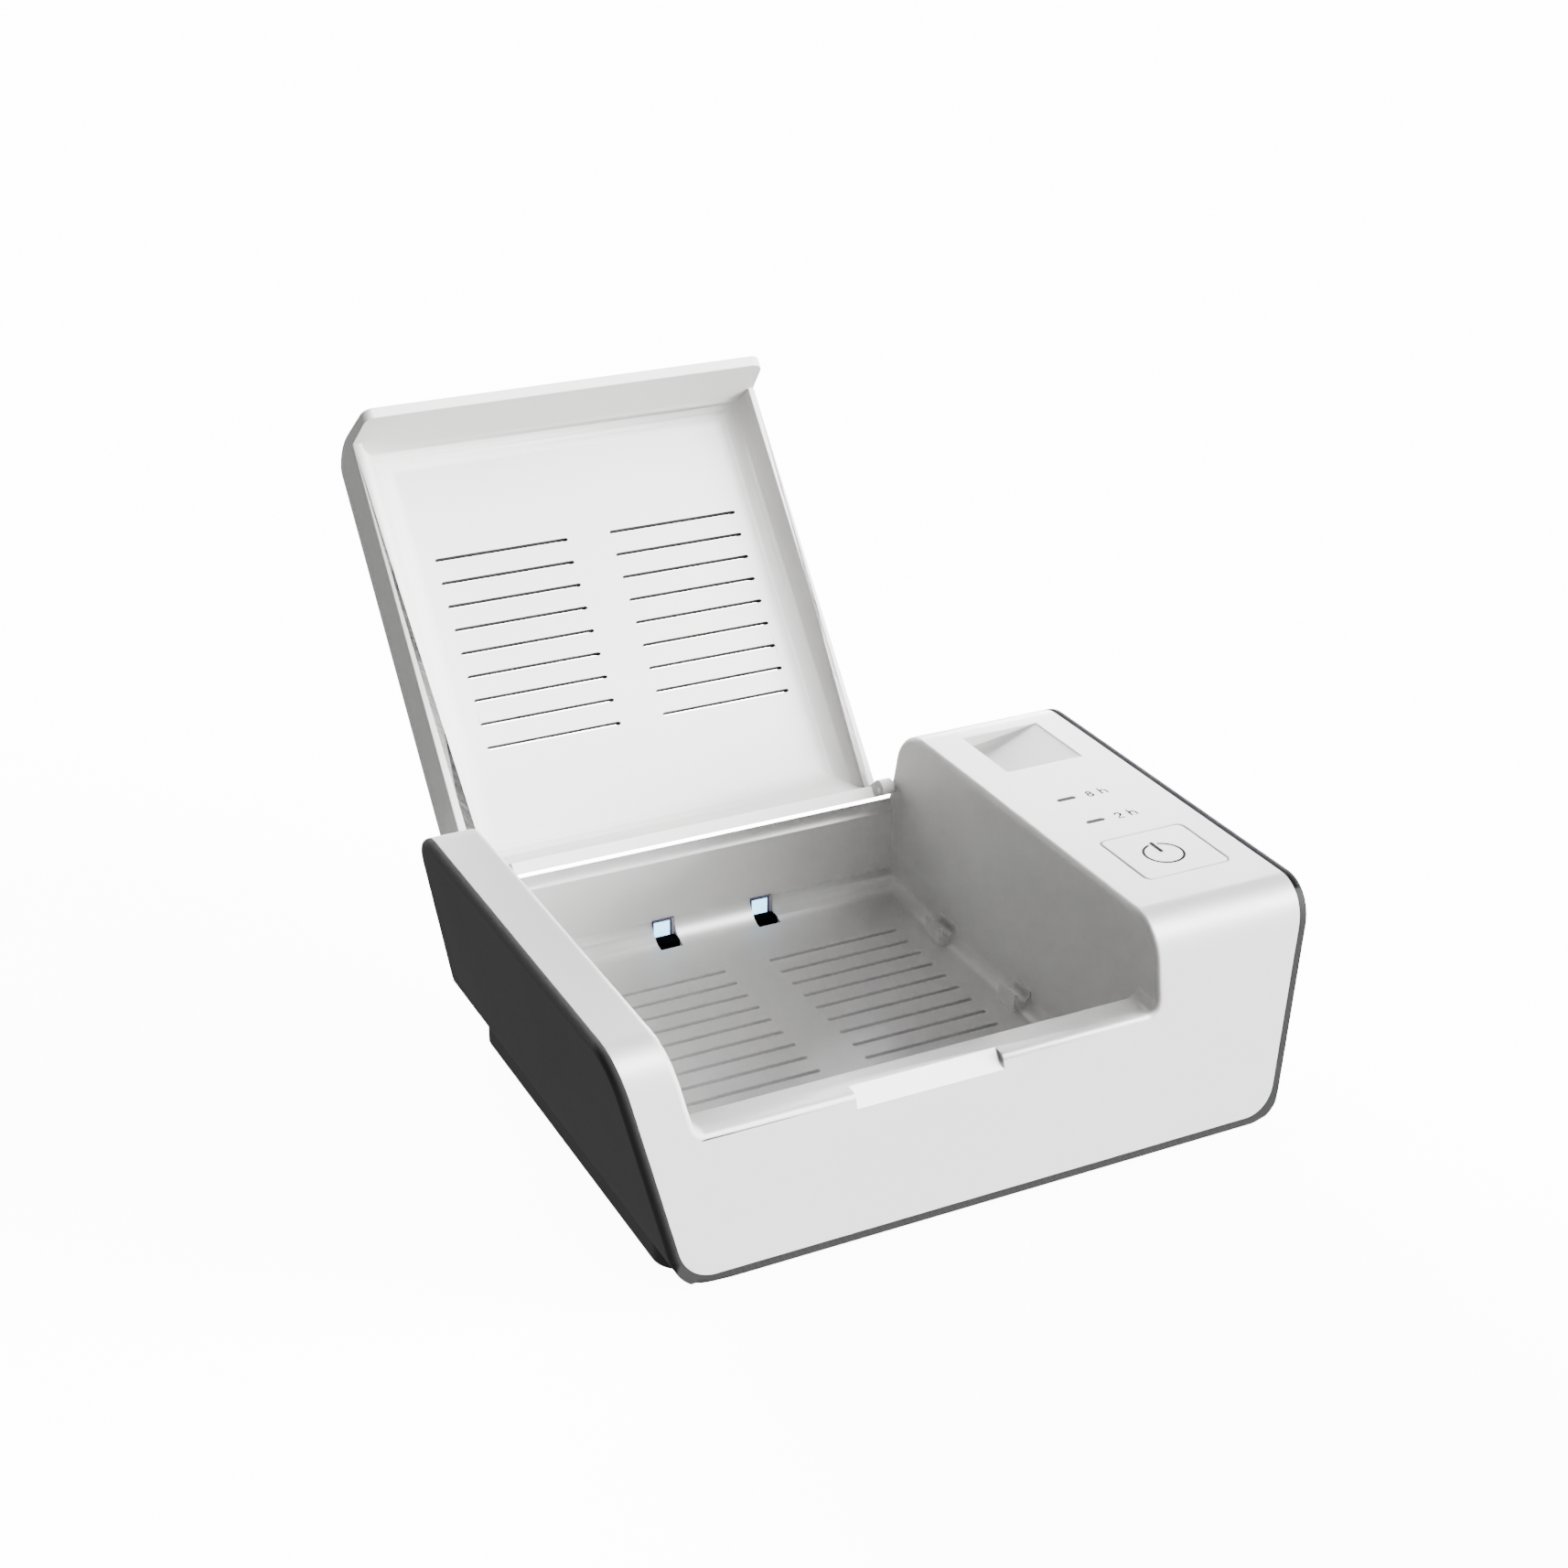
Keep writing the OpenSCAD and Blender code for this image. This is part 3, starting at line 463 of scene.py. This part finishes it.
def slab(name, body, low, high, material):
    """A block with softened edges between two corners, whose Z starts at the table."""
    me = bpy.data.meshes.new(name)
    bm = bmesh.new()
    bmesh.ops.create_cube(bm, size=1.0)
    middle, size = (low + high) / 2, high - low
    for v in bm.verts:
        v.co = (middle + v.co * size) * MM
    bmesh.ops.bevel(bm, geom=list(bm.edges), offset=SLAB_EDGE_R * MM, segments=2, affect="EDGES",
                    profile=0.5)
    bm.to_mesh(me)
    bm.free()
    ob = new_object(name, me)
    me.materials.append(material)
    for face in me.polygons:
        face.use_smooth = True
    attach(ob, body)
    return ob


# Each lens is a pale face, set to the left in a dark bezel, with a paler jamb at its right
lens_lo, lens_hi = (Vector(v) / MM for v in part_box("uv_lenses"))
LENS_W = 4.4
# Places from the lens's left edge, and what of the bezel shows under and over the face
FACE_LEFT, FACE_RIGHT, JAMB_LEFT = 0.15, 3.35, 3.8
FACE_UNDER, FACE_OVER = 0.1, 0.3
# How far the bezel and the jamb stand back behind the face, and how much deeper the bezel goes
BEZEL_BACK, JAMB_BACK, BEZEL_DEEPER = 0.12, 0.02, 0.2
for side, x in (("left", lens_lo.x), ("right", lens_hi.x - LENS_W)):
    low, high = Vector((x, lens_lo.y, lens_lo.z)), Vector((x + LENS_W, lens_hi.y, lens_hi.z))
    rear = high - Vector((0, BEZEL_DEEPER, 0))
    bezel = slab("uv_bezel_" + side, "base", low + Vector((0, BEZEL_BACK, 0)), high, SIDE)
    glass = slab("uv_face_" + side, "base", low + Vector((FACE_LEFT, 0, FACE_UNDER)),
                 rear - Vector((LENS_W - FACE_RIGHT, 0, FACE_OVER)), UV)
    jamb = slab("uv_jamb_" + side, "base", low + Vector((JAMB_LEFT, JAMB_BACK, 0)), rear, JAMB)
    for ob in (bezel, glass, jamb):
        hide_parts("uv_lenses")


# Marks
# Share of its width that a printed stroke is thick
PRINT_FLATNESS = 0.1


def arc(cx, cy, r, start, end, steps=28):
    """Points of an arc, with its angles from +X."""
    angles = [math.radians(start + (end - start) * i / steps) for i in range(steps + 1)]
    return [(cx + r * math.cos(angle), cy + r * math.sin(angle)) for angle in angles]


def print_marks(name, body, lines, width, at, size, material=INK):
    """Flat printed strokes: lines in units of size, at a place whose Z starts at the table."""
    curve = bpy.data.curves.new(name, "CURVE")
    curve.dimensions = "3D"
    curve.bevel_depth = width / 2 * MM
    curve.bevel_resolution = 2
    curve.use_fill_caps = True
    for line in lines:
        spline = curve.splines.new("POLY")
        spline.points.add(len(line) - 1)
        for point, (x, y) in zip(spline.points, line):
            point.co = (x * size * MM, y * size * MM, 0, 1)
    ob = new_object(name, curve)
    ob.location = Vector(at) * MM
    ob.scale = (1, 1, PRINT_FLATNESS)
    curve.materials.append(material)
    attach(ob, body)


# Glyphs in units of their height
EIGHT = [arc(0.32, 0.27, 0.27, 0, 360), arc(0.32, 0.74, 0.21, 0, 360)]
TWO = [arc(0.32, 0.70, 0.27, 160, -30, 14) + [(0.04, 0.0), (0.66, 0.0)]]
AITCH = [[(0.0, 0.0), (0.0, 1.15)], arc(0.30, 0.42, 0.30, 170, 0, 12) + [(0.60, 0.0)]]
# The timers' digits, each with an h behind it, and the dark window before them
PRINT_Z = BODY_H + BASE_Z + 0.012
TIMER_Y, TIMER_PITCH = FRONT_TOP + 36.6, 9.6
DIGIT_X, DIGIT_H, AITCH_X, DIGIT_STROKE = 48.7, 1.95, 51.6, 0.34
WINDOW_X, WINDOW_L, WINDOW_W, WINDOW_LOWER = 44.5, 2.976, 1.3, 0.045
WINDOW = [[(-0.5, 0), (0.5, 0)]]
for label, glyph, y in (("eight_hours", EIGHT, TIMER_Y + TIMER_PITCH), ("two_hours", TWO, TIMER_Y)):
    low = y - DIGIT_H / 2
    print_marks(label, "base", glyph, DIGIT_STROKE, (DIGIT_X, low, PRINT_Z), DIGIT_H)
    print_marks(label + "_h", "base", AITCH, DIGIT_STROKE, (AITCH_X, low, PRINT_Z), DIGIT_H)
    print_marks(label + "_lamp", "base", WINDOW, WINDOW_W,
                (WINDOW_X, y, PRINT_Z - WINDOW_LOWER), WINDOW_L, CLEAR)
# The power symbol: a ring open toward the back, and a bar through the opening
RING_AT, RING_R, RING_HALF_GAP = (48.4, -22.55, PRINT_Z), 3.5, 14
RING_STROKE, BAR_STROKE = 0.46, 0.75
RING = [arc(0, 0, 1, 90 + RING_HALF_GAP, 450 - RING_HALF_GAP, 60)]
BAR = [[(0, 0.14), (0, 1.2)]]
print_marks("power_ring", "button_body", RING, RING_STROKE, RING_AT, RING_R)
print_marks("power_bar", "button_body", BAR, BAR_STROKE, RING_AT, RING_R)

# Camera
# It stands where the photo's did, and its clip distances are in metres
CAMERA_AT = Vector((-188.53, -348.27, 248.61))
YAW, PITCH, ROLL = 26.708, -25.882, math.radians(0.43)
LENS_MM, SENSOR_MM = 59.85, 36.0
CLIP_NEAR, CLIP_FAR = 0.01, 20.0
cam_data = bpy.data.cameras.new("camera")
cam_data.lens = LENS_MM
cam_data.sensor_width = SENSOR_MM
cam_data.clip_start, cam_data.clip_end = CLIP_NEAR, CLIP_FAR
cam = new_object("camera", cam_data)
bpy.context.scene.camera = cam
ahead = toward(90 - YAW, PITCH)
right = ahead.cross(Vector((0, 0, 1))).normalized()
up = right.cross(ahead)
across = right * math.cos(ROLL) + up * math.sin(ROLL)
upward = up * math.cos(ROLL) - right * math.sin(ROLL)
turn = Matrix((across, upward, -ahead)).transposed().to_4x4()
cam.matrix_world = Matrix.Translation(CAMERA_AT * MM) @ turn

# Studio
# Half the floor's side, in metres, and the strength of its glow
FLOOR_HALF, FLOOR_GLOW = 15.0, 11.0
PALE = plastic("floor_pale", (0.93, 0.93, 0.93), rough=0.9, grain=0.0, mottle=0.0)


def glow_from_above(mat):
    """Makes a material glow where it is seen from above, and clears it from below."""
    mat.cycles.emission_sampling = "NONE"
    nt = mat.node_tree
    bsdf = nt.nodes["Principled BSDF"]
    bsdf.inputs["Emission Color"].default_value = (1, 1, 1, 1)
    bsdf.inputs["Emission Strength"].default_value = FLOOR_GLOW
    side = nt.nodes.new("ShaderNodeNewGeometry")
    clear = nt.nodes.new("ShaderNodeBsdfTransparent")
    either = nt.nodes.new("ShaderNodeMixShader")
    sources = (side.outputs["Backfacing"], bsdf.outputs["BSDF"], clear.outputs["BSDF"])
    for source, socket in zip(sources, either.inputs):
        nt.links.new(source, socket)
    nt.links.new(either.outputs["Shader"], nt.nodes["Material Output"].inputs["Surface"])


def floor_plane():
    """A wide pale floor that gives the part no light."""
    me = bpy.data.meshes.new("floor")
    bm = bmesh.new()
    bmesh.ops.create_grid(bm, x_segments=8, y_segments=8, size=FLOOR_HALF)
    bm.to_mesh(me)
    bm.free()
    me.materials.append(PALE)
    floor = new_object("floor", me)
    floor.visible_diffuse = False
    floor.visible_glossy = False


glow_from_above(PALE)
floor_plane()


def lamp(azimuth, elevation, strength, angle, gloss, shines_on=None):
    """A distant soft lamp that gives either the diffuse light or only the gloss."""
    data = bpy.data.lights.new("lamp", "SUN")
    data.energy = strength
    data.angle = math.radians(angle)
    ob = new_object("lamp", data)
    ob.rotation_euler = toward(azimuth, elevation).to_track_quat("Z", "Y").to_euler()
    ob.visible_diffuse = not gloss
    ob.visible_glossy = gloss
    if shines_on:
        ob.light_linking.receiver_collection = shines_on


def group(name, *obs):
    """A collection of objects that a lamp can shine on alone."""
    made = bpy.data.collections.new(name)
    for ob in obs:
        made.objects.link(ob)
    return made


# Each lamp has its azimuth, elevation and strength. The key light comes low from the right.
SOFT_ANGLE, GLOSS_ANGLE = 35, 12
SOFT_LAMPS = [
    (-90, 8, 0.35),
    (-60, 8, 2.4),
    (-30, 8, 25.5),
    (0, 8, 4.5),
    (90, 8, 38.0),
    (120, 8, 0.9),
    (-90, 32, 0.6),
    (-30, 32, 1.5),
    (-90, 58, 0.35),
]
GLOSS_LAMPS = [(-20, 35, 7.0), (60, 20, 2.5), (90, 60, 2.6)]
for azimuth, elevation, strength in SOFT_LAMPS:
    lamp(azimuth, elevation, strength, SOFT_ANGLE, False)
for azimuth, elevation, strength in GLOSS_LAMPS:
    lamp(azimuth, elevation, strength, GLOSS_ANGLE, True)
# Each with its angle too, for the bright lines on the front roundings and the mouth's left edge
GLINTS = [(-47, 53, 45.0, 26), (55, 8, 6.0, 14)]
housing_only = group("housing_only", soft_housing, soft_button)
for azimuth, elevation, strength, angle in GLINTS:
    lamp(azimuth, elevation, strength, angle, True, housing_only)
# The lid's hollow is lit from above, so that its rim and right side shade it
lid_only = group("lid_only", soft_lid)
lamp(-5, 72, 12.0, 50, False, lid_only)
lamp(-52, 42, 25.0, 20, True, lid_only)

# Light of the world under and over the horizon, and the sine of the angle across which it changes
UNDER_LIGHT, SKY_LIGHT, HORIZON = 0.39, 0.02, 0.03
# What the camera sees past the floor, which gives no light
BACKDROP = 1.2


def studio_world():
    """A dim sky, the pale floor's glow under the horizon, and a pale backdrop for the camera."""
    world = bpy.data.worlds.new("studio")
    bpy.context.scene.world = world
    world.use_nodes = True
    nt = world.node_tree
    coord = nt.nodes.new("ShaderNodeTexCoord")
    height = nt.nodes.new("ShaderNodeSeparateXYZ")
    nt.links.new(coord.outputs["Generated"], height.inputs["Vector"])
    seen = nt.nodes.new("ShaderNodeMix")
    seen.data_type = "FLOAT"
    seen.inputs[FLOAT_B].default_value = BACKDROP
    horizon = nt.nodes.new("ShaderNodeMapRange")
    horizon.inputs["From Min"].default_value = 0.0
    horizon.inputs["From Max"].default_value = HORIZON
    horizon.inputs["To Min"].default_value = UNDER_LIGHT
    horizon.inputs["To Max"].default_value = SKY_LIGHT
    nt.links.new(height.outputs["Z"], horizon.inputs["Value"])
    nt.links.new(horizon.outputs["Result"], seen.inputs[FLOAT_A])
    path = nt.nodes.new("ShaderNodeLightPath")
    nt.links.new(path.outputs["Is Camera Ray"], seen.inputs[0])
    nt.links.new(seen.outputs[FLOAT_OUT], nt.nodes["Background"].inputs["Strength"])
    nt.nodes["Background"].inputs["Color"].default_value = (1, 1, 1, 1)


studio_world()
